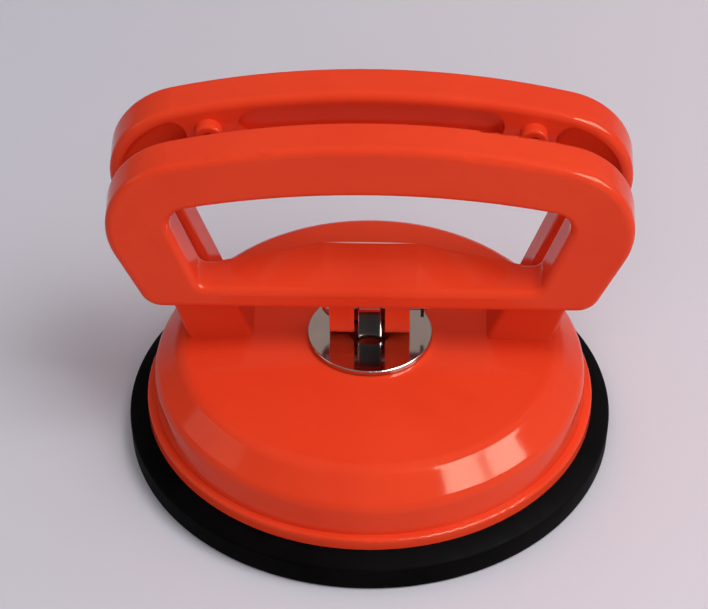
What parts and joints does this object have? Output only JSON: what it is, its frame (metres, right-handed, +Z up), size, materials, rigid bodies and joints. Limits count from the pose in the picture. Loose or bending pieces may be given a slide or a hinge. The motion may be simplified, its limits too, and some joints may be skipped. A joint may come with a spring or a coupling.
{
  "type": "suction lifter",
  "caption": "Hand suction lifter with a round rubber cup, a moulded shell with a fixed arched grip, and a cam lever that pulls the pad up to hold flat floor panels and tiles.",
  "frame": {"origin": "on the floor under the centre of the cup", "axes": "+X along the two handles, +Y from the lever towards the fixed handle, +Z up"},
  "size_m": [0.1266, 0.1184, 0.0934],
  "materials": {
    "orange_plastic": "moulded gloss",
    "chrome": "bright chrome plate",
    "polished_steel": "dark polish",
    "black_steel": "black oxide",
    "plain_steel": "zinc plate",
    "black_rubber": "matt moulded"
  },
  "bodies": {
    "base": {"base_shell": "orange_plastic", "cam_washer": "chrome", "rubber_pad": "black_rubber", "return_spring": "plain_steel"},
    "puller": {"pull_rod": "polished_steel", "pull_plate": "plain_steel"},
    "lever": {"lever_handle": "orange_plastic", "pivot_pin": "polished_steel", "retaining_clip": "black_steel"}
  },
  "joints": [
    {"name": "pad_pull", "type": "slide", "parent": "base", "child": "puller", "axis": [0, 0, 1], "range_m": [-0.0026, 0], "deforming": ["rubber_pad", "return_spring"]},
    {"name": "lever_swing", "type": "hinge", "parent": "puller", "child": "lever", "pos_m": [0, 0, 0.0397], "axis": [1, 0, 0], "range_deg": [0, 70]}
  ],
  "couplings": [
    {"joint": "pad_pull", "follows": "lever_swing", "m_per_rad": -0.002128}
  ]
}
